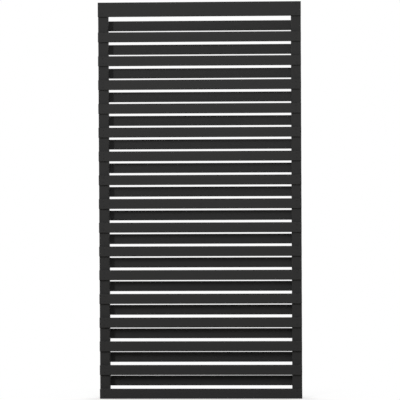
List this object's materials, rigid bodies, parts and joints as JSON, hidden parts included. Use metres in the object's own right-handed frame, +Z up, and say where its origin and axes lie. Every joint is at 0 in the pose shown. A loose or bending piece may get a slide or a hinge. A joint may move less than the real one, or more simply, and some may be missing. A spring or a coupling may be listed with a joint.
{
  "type": "slatted fence panel",
  "caption": "Upright slatted garden screen: level boards nailed on the front and back of two uprights, staggered so that thin clear gaps run between them.",
  "frame": {"origin": "on the ground at the middle of the panel, halfway between the front and back faces", "axes": "+X along the boards to the viewer's right, +Y from the front with the top board to the back, +Z up"},
  "size_m": [0.92, 0.077, 1.8],
  "materials": {
    "board_paint": "planed softwood under opaque matt near-black paint",
    "upright_paint": "square planed softwood under opaque matt near-black paint",
    "nail_paint": "small steel nail heads painted over with the boards"
  },
  "bodies": {
    "root": {"upright_left": "upright_paint", "upright_right": "upright_paint", "top_board": "board_paint", "front_slat_01": "board_paint", "front_slat_02": "board_paint", "front_slat_03": "board_paint", "front_slat_04": "board_paint", "front_slat_05": "board_paint", "front_slat_06": "board_paint", "front_slat_07": "board_paint", "front_slat_08": "board_paint", "front_slat_09": "board_paint", "front_slat_10": "board_paint", "front_slat_11": "board_paint", "front_slat_12": "board_paint", "front_slat_13": "board_paint", "front_slat_14": "board_paint", "front_slat_15": "board_paint", "front_slat_16": "board_paint", "rear_slat_01": "board_paint", "rear_slat_02": "board_paint", "rear_slat_03": "board_paint", "rear_slat_04": "board_paint", "rear_slat_05": "board_paint", "rear_slat_06": "board_paint", "rear_slat_07": "board_paint", "rear_slat_08": "board_paint", "rear_slat_09": "board_paint", "rear_slat_10": "board_paint", "rear_slat_11": "board_paint", "rear_slat_12": "board_paint", "rear_slat_13": "board_paint", "rear_slat_14": "board_paint", "rear_slat_15": "board_paint", "rear_slat_16": "board_paint", "front_nails_left": "nail_paint", "front_nails_right": "nail_paint", "rear_nails_left": "nail_paint", "rear_nails_right": "nail_paint"}
  },
  "joints": []
}
